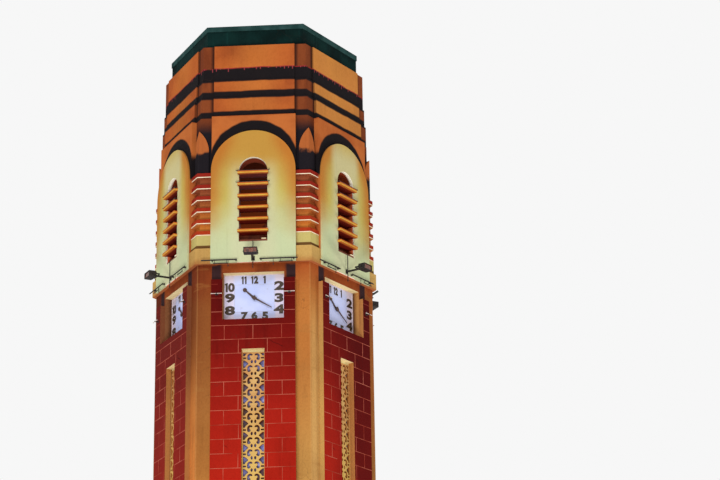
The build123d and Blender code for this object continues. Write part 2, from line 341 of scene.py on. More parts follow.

# red panels: scored blocks, each a little different, cracks and cream returns
# returns: darker on the left, painted shade, and paler on the right, painted light
returnPaint = {
    "cream": "b87c46", "shaded": ("80492e", 1, ("x", -0.9, -1.7), ("side", 0.5, 0.6), ("height", 14.6, 17.6)),
    "sunny": ("c59a58", 1, ("x", 1.3, 1.5), ("x", 2.2, 2.0), ("height", 19.0, 17.0)),
}
redPaint = {
    "red": "9c1c12", "deep": ("8a180f", 1, ("block",)),
    # painted fall-off of light from lamps below: brighter low down, darker toward the top
    "bright": ("b82414", 0.85, ("height", 17.6, 13.6, 0.6, 3, 1.2)),
    "dark": ("500a0a", 0.85, ("height", 15.8, 18.9, 1.2, 2, 0.5)),
    # painted shade: darker beside the niche, on the left face and at the far right
    "nicheShade": ("500a0a", 0.45, ("side", 0.992, 0.802), ("height", 17.95, 18.2)),
    "dull": ("6c221c", 0.6, ("x", -1.0, -1.7)),
    "farShade": ("500a0a", 0.85, ("x", 1.8, 2.5)),
    "crack": ("3c0b0a", 0.8, ("crack", 0.012, 0.006), ("zone", 0.56, 0.60)),
    "return": (returnPaint, 1, ("facing", 0.6, 0.3)),
    # painted light: undersides pale as if lit from below
    "soffit": ("f3dea6", 1, underMask),
}
blocks = {"course": 0.364, "anchor": 17.728, "long": 0.72, "rowsBelow": 400}
cracks = {"slant": (0.66, 0.75), "wave": (1.5, 2, 0.5), "pitch": 1.35, "zone": (1.7, 1)}


def measureRed(spot):  # a number for every block, and long slanting cracks
    course = (spot.height - blocks["anchor"]) / blocks["course"]
    row = course.maths("FLOOR", course)
    shift = row.maths("MODULO", row + blocks["rowsBelow"], 2) * 0.5
    column = row.maths("FLOOR", spot.across / blocks["long"] + shift)
    seat = row.node("ShaderNodeCombineXYZ", {}, {0: column, 1: row, 2: spot.face})
    spot.block = row.node("ShaderNodeTexWhiteNoise", {}, {"Vector": seat})
    down, up = cracks["slant"]
    slant = spot.across * down + spot.height * up
    along = spot.across * -up + spot.height * down
    spot.crack = slant.maths("PINGPONG", slant + wave(spot.point, *cracks["wave"]), cracks["pitch"])
    spot.zone = noise(along.node("ShaderNodeCombineXYZ", {}, {0: along}), *cracks["zone"])


# belfry: arched panels pale low down, golden higher up and orange toward the rim, painted fall-off of light
# from below, with a painted glow round the window; orange spandrels with the arch's dark crescent, a painted
# shadow
archPaint = {
    "pale": "c6cfa2", "cream": ("c2b05c", 1, ("height", 20.5, 21.9, 0.9, 4, 1.2)),
    "gold": ("bc8638", 1, ("height", 21.6, 23.1, 0.9, 4, 1.2), ("golden",)),
    "edge": ("ba702c", 0.85, ("rim", 0.65, 1.09, 0.9, 4, 0.06), ("height", 20.2, 22.2, 0.9, 4, 1.2),
             ("side", 0.25, 0.8)),
    "glow": ("d0cfa6", 0.6, ("side", 0.74, 0.40), ("sunk", 22.3, 21.5)),
}
spandrelPaint = {
    "orange": "be6a34", "deep": ("ac5a2c", 1, ("cloud", 1.3, 3, 0.4, 0.7)),
    # painted shadow: a dark crescent above each arch
    "crescent": ("1a1618", 1, ("crescent", 1.188, 1.138, 4, 3, 0.05), ("height", 21.77, 21.87)),
    # painted shadow just above the ledge
    "ledgeShade": ("843214", 0.5, ("height", 23.36, 23.40, 4, 3, -0.05)),
}
# window jambs dark deep in, painted shade, and lit toward the front, painted light, with a white arris as
# painted highlight; heads with a pale rim, painted highlight
jambPaint = {
    "dark": "843214", "lit": ("f8794a", 1, ("out", 2.42, 2.56)), "arrisHighlight": ("fff8e0", 1, ("out", 2.575, 2.59)),
}
headPaint = {"dark": "843214", "pale": ("fff8e0", 1, ("out", 2.51, 2.56))}
insidePaint = {"low": "66180c", "high": ("98441e", 1, ("height", 21.4, 22.2))}
belfryPaint = {
    "spandrel": spandrelPaint, "panel": (archPaint, 1, ("out", 2.55, 2.585)),
    "opening": ({"jamb": jambPaint, "head": (headPaint, 1, ("height", 21.80, 21.86))}, 1,
                ("facing", 0.7, 0.4), ("side", 0.42, 0.40), ("height", 22.35, 22.3)),
    "inside": (insidePaint, 1, insideMask),
}
# where the painted light and shadow lie: the crescent shadow's lift, the rim's lean, and less gold and a
# lower glow on the side faces
arch = {
    "crescentRise": 0.262, "lean": 0.05, "sideFace": (0.3, 0.7), "gold": 0.85, "sideGold": 0.5,
    "sideGlow": 0.9,
}


def archDistance(spot, lift):  # from the arch's centre, or from the centre line below it
    over = spot.height - (tower["archSpring"] + lift)
    over = over.maths("MAXIMUM", over, 0)
    return over.maths("SQRT", spot.across * spot.across + over * over)


def measureBelfry(spot):
    sideFace = rise(abs(spot.face), *arch["sideFace"])
    spot.golden = arch["gold"] - sideFace * arch["sideGold"]
    spot.sunk = spot.height - sideFace * arch["sideGlow"]
    spot.rim = archDistance(spot, 0) + (spot.height - tower["archSpring"]) * arch["lean"]
    spot.crescent = archDistance(spot, arch["crescentRise"])


# ribbed corners: darker higher up, painted fall-off of light; a painted shadow in each groove above its rib,
# paler rib undersides as painted light, and the corner heads and strips in painted shadow low down and lit
# higher up
highMask = ("height", 20.2, 21.5)
groovePaint = {
    # painted shadow in each groove just above its rib
    "orange": "d88638", "high": ("a05636", 1, highMask), "dark": ("5a2a1c", 0.45, ("phase", 0.24, 0.12)),
}
ribPaint = {
    "red": "ae3a1a", "high": ("92261a", 1, highMask),
    "worn": ("8a2418", 0.5, ("cloud", 6, 3, 0.42, 0.7, (1, 1, 3))),
    # painted light: rib undersides paler
    "under": ({"low": "c98650", "high": ("9c5638", 1, highMask)}, 1, underMask),
}
cornerHeadPaint = {
    "strip": {"shade": "1f1b20", "brown": ("72381f", 1, ("height", 23.055, 23.475, 3.2, 4, 0.15))},
    "head": ({"shade": "1f1b20", "lit": ("b26232", 1, ("height", 22.65, 22.77, 3.2, 4, 0.5))}, 1,
             ("out", 2.40, 2.44)),
}
ribbedPaint = {
    "groove": groovePaint, "rib": (ribPaint, 1, ("out", 2.43, 2.46)),
    "upper": (cornerHeadPaint, 1, ("height", 21.862, 21.868)),
}
cornerPaint = {
    "foot": "6a4a28", "block": ("c4b46e", 1, ("height", 19.885, 19.90)),
    "ribbed": (ribbedPaint, 1, ("height", 20.158, 20.164)), "inside": (insidePaint, 1, insideMask),
}

floorPaint = {
    "edge": "b47c44", "cream": ("c9a05c", 1, ("height", 19.42, 19.62, 3, 2, 0.1)),
    "soffit": ("b0683e", 1, underMask), "floor": ("7d6a58", 1, insideMask),
}

# set-back tiers: warm panels, paler in the middle and to the right as painted light, between browner piers
# with painted shadow beside each panel; a dark painted shadow band above every ledge; short red drips, the
# painted glow of a string of small red lamps
tierBend = (2.2, 3, 0.054)
ledges = {"low": (23.397, 23.617), "middle": (23.967, 24.197), "top": (24.467, 24.862)}
tierPanelPaint = {
    "warm": "b8602c", "dull": ("a04e26", 1, ("cloud", 0.9, 4, 0.38, 0.66)),
    # painted light: paler in the middle of each panel and toward the right
    "glow": ("c47636", 0.5, ("side", 0.9, 0.1)), "sunny": ("d29248", 0.6, ("x", 1.0, 1.5)),
}
tierPierPaint = {
    "brown": "76391f", "pale": ("864424", 1, ("cloud", 3.0, 3, 0.4, 0.65, (1, 1, 0.3))),
    # painted shadow beside each panel
    "dark": ("341c16", 0.85, ("side", 1.17, 1.08)),
}
tierPaint = {
    "panel": tierPanelPaint, "pier": (tierPierPaint, 1, ("side", 1.046, 1.054)),
    # painted shadow bands above the ledges
    **{name: ("1c181a", 1, *band("height", *ledgeShade, 0.022, *tierBend)) for name, ledgeShade in ledges.items()},
    # painted glow of a string of small red lamps along the top band
    "fringe": ("9c2430", 0.8, *band("height", 24.851, 24.875, 0.008, *tierBend), ("cloud", 5, 2, 0.34, 0.46)),
    "drip": ("a04048", 0.8, ("drip", 0.14, 0.08), ("hung", 24.832, 24.844), ("height", 24.848, 24.838)),
    "inside": ("7a3a24", 1, ("out", 2.11, 2.09)),
}
drips = {"pitch": 0.105, "long": 0.14, "short": 0.03}


def measureTier(spot):  # one drip in a pitch, each its own length
    drip = spot.across / drips["pitch"]
    number = drip.maths("FLOOR", drip)
    seat = number.node("ShaderNodeCombineXYZ", {}, {0: number, 1: spot.face})
    length = seat.node("ShaderNodeTexWhiteNoise", {}, {"Vector": seat}) * drips["long"] - drips["short"]
    spot.hung = spot.height + length
    spot.drip = abs(drip.maths("FRACT", drip) - 0.5)


parapetPaint = {
    "teal": "0c2826", "deep": ("061615", 1, ("cloud", 1.1, 4, 0.42, 0.68)),
    "worn": ("17403c", 0.45, ("cloud", 2.5, 4, 0.58, 0.76, (6, 6, 0.3))),
}
copingPaint = {
    "teal": "2c4a48", "deep": ("1c3836", 1, ("cloud", 3, 4, 0.4, 0.66)),
    # paler on upward faces
    "paleTop": ("5b716b", 0.5, ("lift", 0.5, 0.8)),
}
roofPaint = {
    "grey": "7d7a72", "deep": ("5f5c55", 1, ("cloud", 0.9, 5, 0.42, 0.62)),
    "stain": ("3f3d38", 0.4, ("cloud", 5, 4, 0.55, 0.7)),
}
screenPaint = {
    "cream": "cc9860", "face": ("d8b070", 1, ("cloud", 3, 4, 0.4, 0.7)),
    "low": ("dcb866", 1, ("height", 17.5, 14.5, 1.2, 2, 2)),
    "border": ("e0d29c", 1, ("height", 17.055, 17.07)), "reveal": ("b06c34", 1, ("facing", 0.7, 0.4)),
}
nosePaint = {"gold": "d8b048", "worn": ("ca943a", 1, ("cloud", 5, 3, 0.4, 0.7, (1, 1, 4)))}
# louvre blades darker deep in the window: painted shade
louvrePaint = {
    "rim": "c4622a", "nose": (nosePaint, 1, *band("phase", 0.010, 0.043, 0.012)),
    "under": ({"back": "641409", "front": ("ba6426", 1, ("out", 2.62, 2.69))}, 1, underMask),
    "upper": ("8a5a36", 1, ("lift", 0.4, 0.7)), "back": ("641409", 1, ("out", 2.58, 2.40)),
}
# white of the strips under the ribs, a painted highlight, and of the sill blocks
whiteTrimPaint = {"white": "fdf0d4", "cream": ("ecd3a4", 1, ("cloud", 6, 3, 0.4, 0.7))}

plasters = {  # name, paints, streaks, blotches and what measures the spot
    "pier": ("pierPlaster", pierPaint),
    "base": ("basePlaster", basePaint, 1.3),
    "core": ("shaftPlaster", corePaint, 0.8),
    "red": ("redPlaster", redPaint, 0.8, 0.9, measureRed),
    "belfry": ("belfryPlaster", belfryPaint, 0.35, 0.35, measureBelfry),
    "corner": ("cornerPlaster", cornerPaint, 0.5, 0.5),
    "band": ("bandPlaster", floorPaint, 0.9),
    "tier": ("tierPlaster", tierPaint, 0.8, 0.9, measureTier),
    "parapet": ("parapetPaint", parapetPaint, 0.3, 0.5),
    "coping": ("copingPaint", copingPaint, 0.3, 0.5),
    "roof": ("roofConcrete", roofPaint, 0.2),
    "screen": ("screenPlaster", screenPaint, 0.5, 0.5),
    "louvre": ("louvrePlaster", louvrePaint, 0.4, 0.5),
    "drip": ("whiteTrimPlaster", whiteTrimPaint, 0.2, 0.2),
}
looks = {look: plasterLook(*settings) for look, settings in plasters.items()}
print("plaster finishes made")

# metals, dials and glass: coats as on the walls, roughness, relief and its depth
violetMask = ("cloud", 0.9, 1, 0.44, 0.56, (0.4, 0.4, 1.6))
rusty = {"rough": (0.42, 30, 3, 0.3), "relief": (160, 3), "depth": 0.0008, "Metallic": 0.35}
smallPaint = {
    "steel": {
        "name": "darkSteel", **rusty,
        "paints": {"dark": "1c1816", "pale": ("2e2520", 1, ("cloud", 9, 4, 0.42, 0.66)),
                   "rust": ("5a3220", 0.6, ("cloud", 22, 5, 0.60, 0.72))}},
    "sillWood": {
        "name": "sillBoard", **rusty,
        "paints": {"brown": "7a3818", "deep": ("6a2a14", 1, ("cloud", 9, 4, 0.42, 0.66)),
                   "worn": ("441a0e", 0.4, ("cloud", 22, 5, 0.60, 0.72))}},
    "hand": {
        "name": "handPaint", "rough": (0.38, 60, 3, 0.25), "relief": (200, 2), "depth": 0.0005,
        "Metallic": 0.2,
        "paints": {"dark": "3a241c", "pale": ("52352a", 1, ("cloud", 30, 4, 0.45, 0.7))}},
    "enamel": {
        "name": "whiteEnamel", "rough": (0.22, 20, 2, 0.15), "relief": (80, 2), "depth": 0.0004,
        "paints": {"white": "dccdc2", "dull": ("bfab9c", 1, ("cloud", 12, 4, 0.5, 0.7))}},
    "frame": {
        "name": "framePaint", "rough": (0.4, 20, 2, 0.2), "relief": (60, 2), "depth": 0.0006,
        "paints": {"pale": "e0d2d8", "dull": ("cbb6ae", 1, ("cloud", 4, 4, 0.4, 0.7))}},
    "figure": {
        "name": "figurePaint", "rough": (0.45, 40, 2, 0.2), "relief": (150, 2), "depth": 0.0005,
        "paints": {"dark": "2e2013", "worn": ("46341c", 1, ("cloud", 14, 4, 0.4, 0.7))}},
    "line": {
        "name": "dialLine", "rough": (0.5, 40, 2, 0.2),
        "paints": {"grey": "a7a4b4", "pale": ("c9c4cc", 1, ("cloud", 8, 3, 0.4, 0.7))}},
    "dial": {
        "name": "dialSheet", "rough": (0.32, 12, 3, 0.15), "relief": (40, 2), "depth": 0.0006,
        # a faint glow of its own: painted light
        "Emission_Color": paint("dfe4ff"), "Emission_Strength": 0.06,
        "paints": {"blue": "c4cef8", "deep": ("b4c0f0", 1, ("cloud", 1.6, 3, 0.4, 0.66)),
                   "side": ("e2d0dc", 0.6, ("side", 0.48, 0.56)),
                   # greyer near the top
                   "greyTop": ("c9b7a8", 0.25, ("height", 18.94, 19.18, 6, 4, 0.12)),
                   "low": ("dcbfc0", 0.6, ("height", 18.16, 17.94, 5, 3, 0.1))}},
    "pane": {  # a sheet behind the screens: brown in some stretches, painted shade of the dark inside, violet-blue in others, painted light from within
        "name": "screenShadeAndGlow", "rough": (0.18, 30, 2, 0.2), "relief": (14, 2), "depth": 0.002,
        "paints": {"brown": "4a140c", "violet": ("7c80c4", 1, violetMask),
                   "pale": ("b4b6ea", 0.7, ("cloud", 5, 2, 0.56, 0.62), violetMask),
                   "dirt": ("2c1620", 0.6, ("cloud", 9, 3, 0.46, 0.66))}},
    "lens": {
        "name": "lampGlass", "rough": (0.15, 15, 2, 0.1), "cells": 62.0, "depth": 0.001,
        "paints": {"litFacet": "84401f", "brown": ("4a1e10", 1, ("cloud", 7, 3, 0.4, 0.65)),
                   "seam": ("2c120a", 0.5, ("cell", 0.35, 0.75))}},
    "joint": {
        "name": "jointPlaster", "rough": plaster["rough"], "relief": (120, 3), "depth": 0.001,
        "Specular_IOR_Level": plaster["shine"],
        "paints": {"pale": "c8705a", "red": ("9c3828", 1, ("cloud", 2.1, 4, 0.35, 0.66)),
                   # darker toward the top: painted fall-off of light, as on the red panels
                   "high": ("7a221c", 0.6, ("height", 17.9, 18.8))}},
}


def smallLook(name, paints, rough, relief=None, cells=None, depth=0, **others):
    material, tree = startLook(name)
    spot = Spot(tree)
    height = noise(spot.point, *relief) if relief else None
    if cells:
        height = spot.cell = addNode(tree, "ShaderNodeTexVoronoi", {"feature": "F1"},
                                     {"Vector": spot.point, "Scale": cells})
    finishLook(tree, painted(spot, paints), roughly(spot.point, *rough), height, depth, **others)
    return material


looks.update({look: smallLook(**settings) for look, settings in smallPaint.items()})


def dress(look, *names):
    for name in names:
        for slot in nodes[name].material_slots:
            slot.material = looks[look]


numbered = range(1, tower["faces"] + 1)
dress("pier", "corner_piers")
dress("base", "plinth", "base_walls", "door_jamb_left", "door_jamb_right", "door_head")
dress("core", *[f"shaft_wall_{number}" for number in numbered])
dress("red", "red_panels")
dress("belfry", *[f"belfry_wall_{number}" for number in numbered])
dress("corner", "belfry_corners")
dress("band", "belfry_floor")
dress("frame", "dial_frames")
dress("tier", "lower_tier", "middle_tier", "upper_tier")
dress("parapet", "parapet")
dress("coping", "parapet_coping")
dress("roof", "roof_slab")
dress("screen", "jali_screens")
dress("louvre", "louvre_blades")
dress("dial", "clock_dials")
dress("enamel", "dial_lamps")
dress("steel", "floodlight_arms", "floodlights", "steel_rails")
dress("hand", *[f"{kind}_hand_{number}" for kind in ("hour", "minute") for number in numbered])
print("CAD nodes dressed")


# making pieces: across, out and height on the front face, then turned to the others
def at(across, out, height):
    return Vector((across, -out, height))


def sided(side, low, high):  # a (low, high) pair on the left, -1, or on the right, 1
    return tuple(sorted((side * low, side * high)))


def addPrism(mesh, outline, outLow, outHigh, bevel=0.0):  # outline is (across, height) points
    back = [mesh.verts.new(at(x, outLow, z)) for x, z in outline]
    front = [mesh.verts.new(at(x, outHigh, z)) for x, z in outline]
    faces = [mesh.faces.new(front), mesh.faces.new(list(reversed(back)))]
    for index in range(len(outline)):
        other = (index + 1) % len(outline)
        faces.append(mesh.faces.new((back[index], back[other], front[other], front[index])))
    if bevel:
        edges = {edge for face in faces for edge in face.edges}
        bmesh.ops.bevel(mesh, geom=list(edges), offset=bevel, segments=1, affect="EDGES")


def addBlock(mesh, across, out, height, bevel=0.0):  # each a (low, high) pair
    outline = [(across[0], height[0]), (across[1], height[0]), (across[1], height[1]), (across[0], height[1])]
    addPrism(mesh, outline, out[0], out[1], bevel)


def addRod(mesh, start, end, radius, sides):
    axis = end - start
    made = bmesh.ops.create_cone(mesh, cap_ends=True, segments=sides, radius1=radius, radius2=radius,
                                 depth=axis.length)
    turned = axis.to_track_quat("Z", "Y").to_matrix().to_4x4()
    bmesh.ops.transform(mesh, matrix=Matrix.Translation((start + end) / 2) @ turned, verts=made["verts"])


def addUpright(mesh, across, out, height, radius, sides):  # height is a (low, high) pair
    addRod(mesh, at(across, out, height[0]), at(across, out, height[1]), radius, sides)


def addStud(mesh, across, out, height, radius, sides):  # out is a (low, high) pair
    addRod(mesh, at(across, out[0], height), at(across, out[1], height), radius, sides)


def turnRound(mesh):  # the front face's geometry repeated on the other five
    source = list(mesh.verts) + list(mesh.edges) + list(mesh.faces)
    for turn in range(1, tower["faces"]):
        copy = bmesh.ops.duplicate(mesh, geom=source)["geom"]
        points = [item for item in copy if isinstance(item, bmesh.types.BMVert)]
        bmesh.ops.rotate(mesh, verts=points, cent=(0, 0, 0), matrix=Matrix.Rotation(step * turn, 3, "Z"))


def place(name, mesh, look):  # repeats the mesh on every face and fixes it to the tower
    turnRound(mesh)
    data = bpy.data.meshes.new(name)
    bmesh.ops.recalc_face_normals(mesh, faces=mesh.faces)
    mesh.to_mesh(data)
    mesh.free()
    data.shade_flat()
    piece = bpy.data.objects.new(name, data)
    bpy.context.collection.objects.link(piece)
    data.materials.append(looks[look])
    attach(piece, "tower")
    return piece


# joint lines of the red panels: thin pointing, proud of the plaster
jointLines = {
    "width": 0.011, "proud": 0.003, "sunk": 0.001, "foot": 3.6, "headroom": 0.03, "missing": 0.03,
    "clear": 0.004, "margin": 0.02, "tilt": 0.004, "short": (0.05, 0.22), "shift": 0.008, "lean": 0.003,
    "fromEdge": 0.03, "topGap": 0.01,
}


def addLine(mesh, start, end):  # points are (across, height)
    run = Vector((end[0] - start[0], end[1] - start[1]))
    side = Vector((-run.y, run.x)).normalized() * jointLines["width"] / 2
    outline = [(start[0] - side.x, start[1] - side.y), (end[0] - side.x, end[1] - side.y),
               (end[0] + side.x, end[1] + side.y), (start[0] + side.x, start[1] + side.y)]
    addPrism(mesh, outline, *around(tower["panelOut"], -jointLines["sunk"], jointLines["proud"]))


def solidRuns(height):  # where the panel is solid at a height
    clear, margin = jointLines["clear"], jointLines["margin"]
    half = tower["panelHalf"] - clear
    if tower["slotFoot"] - margin < height < tower["slotTop"] + margin:
        gap = tower["slotHalf"] + clear
    elif tower["nicheFoot"] - margin < height < tower["nicheTop"]:
        gap = tower["nicheHalf"] + clear
    else:
        return [(-half, half)]
    return [(-half, -gap), (gap, half)]


def isSolid(across, levels):
    edge = jointLines["fromEdge"]
    return all(any(low + edge < across < high - edge for low, high in solidRuns(level)) for level in levels)


def makeJointLines():
    mesh = bmesh.new()
    course, block, anchor = blocks["course"], blocks["long"], blocks["anchor"]
    tilted, shifted, leaned = (jointLines[name] for name in ("tilt", "shift", "lean"))
    clear, missing = jointLines["clear"], jointLines["missing"]
    row = math.ceil((jointLines["foot"] - anchor) / course)
    while anchor + row * course < tower["panelTop"] - jointLines["headroom"]:
        height = anchor + row * course
        for low, high in solidRuns(height):
            tilt = random.uniform(-tilted, tilted)
            short = random.uniform(*jointLines["short"]) if random.random() < missing * 2 else 0
            addLine(mesh, (low, height + tilt), (high - short, height - tilt))
        shift = 0 if row % 2 else block / 2
        top = min(height + course, tower["panelTop"])
        for column in range(-2, 3):
            across = column * block + shift + random.uniform(-shifted, shifted)
            solid = isSolid(across, (height, (height + top) / 2, top - jointLines["topGap"]))
            if solid and random.random() > missing:
                lean = random.uniform(-leaned, leaned)
                addLine(mesh, (across, height + clear), (across + lean, top - clear))
        row += 1
    place("joint_lines", mesh, "joint")


makeJointLines()
print("joint lines laid")


# pierced screens: claws, drops, fans and ticks, mirrored about the middle
fret = {
    "module": 0.306, "count": 20, "drop": 0.07, "outLow": 2.39, "outHigh": 2.45, "margin": 0.016,
    "topMargin": 0.075, "nearest": 0.00001,
    "shapes": {
        "claw": ((0.022, 0.258), (0.040, 0.286), (0.075, 0.298), (0.112, 0.292), (0.140, 0.270),
                 (0.154, 0.236), (0.158, 0.188), (0.153, 0.138), (0.130, 0.120), (0.096, 0.124),
                 (0.070, 0.146), (0.072, 0.172), (0.088, 0.188), (0.098, 0.206), (0.100, 0.224),
                 (0.093, 0.238), (0.078, 0.243), (0.055, 0.241), (0.034, 0.236)),
        "drop": ((0.044, 0.034), (0.064, 0.046), (0.074, 0.084), (0.064, 0.114), (0.044, 0.130),
                 (0.024, 0.116), (0.016, 0.086), (0.024, 0.048)),
        "fan": ((0.128, 0.030), (0.160, 0.068), (0.192, 0.090), (0.212, 0.112), (0.260, 0.120),
                (0.260, -0.076), (0.216, -0.074), (0.196, -0.040), (0.170, -0.010), (0.144, 0.006)),
        "tick": ((0.182, 0.156), (0.260, 0.150), (0.260, 0.200), (0.182, 0.194)),
    },
}


def fretLoops():
    half, foot, top = tower["slotHalf"], tower["slotFoot"], tower["slotTop"]
    loops = [[(-half, foot), (half, foot), (half, top), (-half, top)]]
    lowest, highest = foot + fret["margin"], top - fret["topMargin"]
    for module in range(fret["count"] + 2):
        level = foot + module * fret["module"] - fret["drop"]
        for shape in fret["shapes"].values():
            outline = [(x, min(max(level + y, lowest), highest)) for x, y in shape]  # cut off by the border
            heights = [y for x, y in outline]
            if max(heights) - min(heights) > fret["margin"]:
                loops += [outline, [(-x, y) for x, y in outline]]
    return loops


def within(loop, point):
    crossed = False
    for (ax, ay), (bx, by) in zip(loop, loop[1:] + loop[:1]):
        if (ay > point[1]) != (by > point[1]) and point[0] < ax + (bx - ax) * (point[1] - ay) / (by - ay):
            crossed = not crossed
    return crossed


def addPierced(mesh, loops, outLow, outHigh):  # the first loop is the edge, the others are holes
    points, edges = [], []
    for loop in loops:
        start = len(points)
        points += [Vector(point) for point in loop]
        edges += [(start + index, start + (index + 1) % len(loop)) for index in range(len(loop))]
    flat, _, triangles, *_ = geometry.delaunay_2d_cdt(points, edges, [], 1, fret["nearest"])
    front, back = ([mesh.verts.new(at(x, out, y)) for x, y in flat] for out in (outHigh, outLow))
    for triangle in triangles:
        middle = sum((flat[index] for index in triangle), Vector((0, 0))) / 3
        if any(within(hole, middle) for hole in loops[1:]):
            continue
        mesh.faces.new([front[index] for index in triangle])
        mesh.faces.new([back[index] for index in reversed(triangle)])
    mesh.verts.index_update()
    rims = [edge for edge in mesh.edges if len(edge.link_faces) == 1 and edge.verts[0].index < len(flat)]
    for edge in rims:
        first, second = (point.index for point in edge.verts)
        mesh.faces.new((front[first], front[second], back[second], back[first]))


def makeScreens():
    mesh = bmesh.new()
    addPierced(mesh, fretLoops(), fret["outLow"], fret["outHigh"])
    piece = place("pierced_screens", mesh, "screen")
    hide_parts("jali_screens")


pane = {"half": 0.284, "out": (2.368, 2.376), "clear": 0.004, "bevel": 0.001}


def makePanes():
    mesh = bmesh.new()
    height = (tower["slotFoot"] + pane["clear"], tower["slotTop"] - pane["clear"])
    addBlock(mesh, about(0, pane["half"]), pane["out"], height, pane["bevel"])
    place("screen_panes", mesh, "pane")


makeScreens()
makePanes()
print("screens pierced")


# dials: bold figures and fine lines, just proud of the sheet; each figure has its place and widening
figures = {
    "places": (("1", -0.304, 0.49, 0.95), ("1", -0.230, 0.49, 0.95), ("1", -0.058, 0.49, 0.95),
               ("2", 0.042, 0.49, 0.80), ("1", 0.252, 0.49, 1.10), ("2", 0.63, 0.32, 1.62),
               ("3", 0.62, 0.0, 1.62), ("4", 0.62, -0.30, 1.62), ("5", 0.27, -0.46, 1.22),
               ("6", 0.0, -0.45, 1.22),
               ("7", -0.25, -0.45, 1.22), ("8", -0.62, -0.30, 1.62), ("9", -0.62, 0.03, 1.62),
               ("1", -0.716, 0.31, 1.10), ("0", -0.585, 0.31, 1.05)),
    "endTall": 0.20, "sideTall": 0.24, "sideFrom": 0.5, "bold": 0.017, "thick": 0.003, "fontShare": 0.70,
    "rounding": 4,
    "one": ((-0.04, -0.5), (0.15, -0.5), (0.15, 0.5), (0.03, 0.5), (-0.15, 0.37), (-0.15, 0.21),
            (-0.04, 0.28)),
}


def figureMesh(text, tall):
    letters = bpy.data.curves.new("figure", "FONT")
    letters.body = text
    letters.align_x, letters.align_y = "CENTER", "CENTER"
    letters.size = tall / figures["fontShare"]
    letters.offset = figures["bold"]
    letters.extrude = figures["thick"]
    letters.resolution_u = figures["rounding"]
    holder = bpy.data.objects.new("figure", letters)
    bpy.context.collection.objects.link(holder)
    bpy.context.view_layer.update()
    flat = bpy.data.meshes.new_from_object(holder)
    bpy.data.objects.remove(holder)
    return flat


def makeFigures():
    mesh = bmesh.new()
    out, pivot, thick = tower["dialOut"], tower["pivot"], figures["thick"]
    for text, across, lift, widen in figures["places"]:
        tall = figures["sideTall"] if abs(across) > figures["sideFrom"] else figures["endTall"]
        if text == "1":
            outline = [(across + x * tall * widen, pivot + lift + y * tall) for x, y in figures["one"]]
            addPrism(mesh, outline, out, out + thick * 2)
            continue
        flat = figureMesh(text, tall)
        low = [min(point.co[axis] for point in flat.vertices) for axis in (0, 1)]
        high = [max(point.co[axis] for point in flat.vertices) for axis in (0, 1)]
        grown = tall / (high[1] - low[1])
        for point in flat.vertices:
            x = (point.co.x - (low[0] + high[0]) / 2) * widen * grown + across
            y = (point.co.y - (low[1] + high[1]) / 2) * grown + lift
            point.co = at(x, out + thick + point.co.z, pivot + y)
        mesh.from_mesh(flat)
    place("dial_figures", mesh, "figure")


dialLines = {"half": 0.50, "top": 0.37, "foot": -0.35, "wide": 0.006, "proud": 0.0015, "sunk": 0.001,
             "crosses": 0.33, "crossLevels": ((-0.24, 0.032), (0.24, 0.012))}


def makeDialLines():
    mesh = bmesh.new()
    half, wide, pivot = dialLines["half"], dialLines["wide"], tower["pivot"]
    thin = around(tower["dialOut"], -dialLines["sunk"], dialLines["proud"])
    low, high = around(pivot, dialLines["foot"], dialLines["top"])
    for side in about(0, half):
        addBlock(mesh, about(side, wide / 2), thin, (low, high))
    for level in (low, high):
        addBlock(mesh, about(0, half + wide / 2), thin, about(level, wide / 2))
    for across in about(0, dialLines["crosses"]):
        for lift, reach in dialLines["crossLevels"]:
            for lean in (-1, 1):
                foot, top = about(pivot + lift, lean * reach)
                addPrism(mesh, [(across - reach, foot), (across - reach + wide, foot),
                                (across + reach, top), (across + reach - wide, top)], *thin)
    place("dial_lines", mesh, "line")


makeFigures()
makeDialLines()
print("dials marked")


# lamp tubes beside the dials: round tubes in end caps, over a bracket with a clip
lampTube = {
    "low": 0.777, "high": 1.053, "height": 18.55, "out": 2.689, "radius": 0.0080, "sides": 14, "inset": 0.012,
    "cap": 0.0115, "capLong": 0.022, "bevel": 0.002,
    "bracket": ((0.04, (2.6005, 2.608), 0.022), (0.010, (2.606, 2.672), 0.010),
                (0.012, (2.668, 2.7045), 0.0145)),
}


def makeLampTubes():
    tubes = bmesh.new()
    brackets = bmesh.new()
    middle = (lampTube["low"] + lampTube["high"]) / 2
    height, inset, sides = lampTube["height"], lampTube["inset"], lampTube["sides"]
    for side in (-1, 1):
        ends = [at(side * lampTube[name], lampTube["out"], height) for name in ("low", "high")]
        along = (ends[1] - ends[0]).normalized()
        addRod(tubes, ends[0] + along * inset, ends[1] - along * inset, lampTube["radius"], sides)
        for end, inward in ((ends[0], along), (ends[1], -along)):
            addRod(tubes, end, end + inward * lampTube["capLong"], lampTube["cap"], sides)
        for reach, out, tall in lampTube["bracket"]:
            addBlock(brackets, about(side * middle, reach), out, about(height, tall), lampTube["bevel"])
    piece = place("lamp_tubes", tubes, "enamel")
    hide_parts("dial_lamps")
    place("lamp_brackets", brackets, "steel")


makeLampTubes()
print("lamp tubes made")


# belfry trims: a thin white strip under every rib, a painted highlight where light from below catches the
# rib's edge, rods and sill board at the windows
# a thin white strip under every rib: painted highlight
drip = {"out": 2.51, "proud": 0.004, "tall": (-0.002, 0.018), "overlap": 0.002}


def cornerPlan(out, half):  # the plan of a corner between the front face and the next
    first = [Vector((half, -out, 0)), Vector((out * slope, -out, 0))]
    last = Vector((-half, -out, 0))
    last.rotate(Matrix.Rotation(step, 3, "Z"))
    return first + [last]


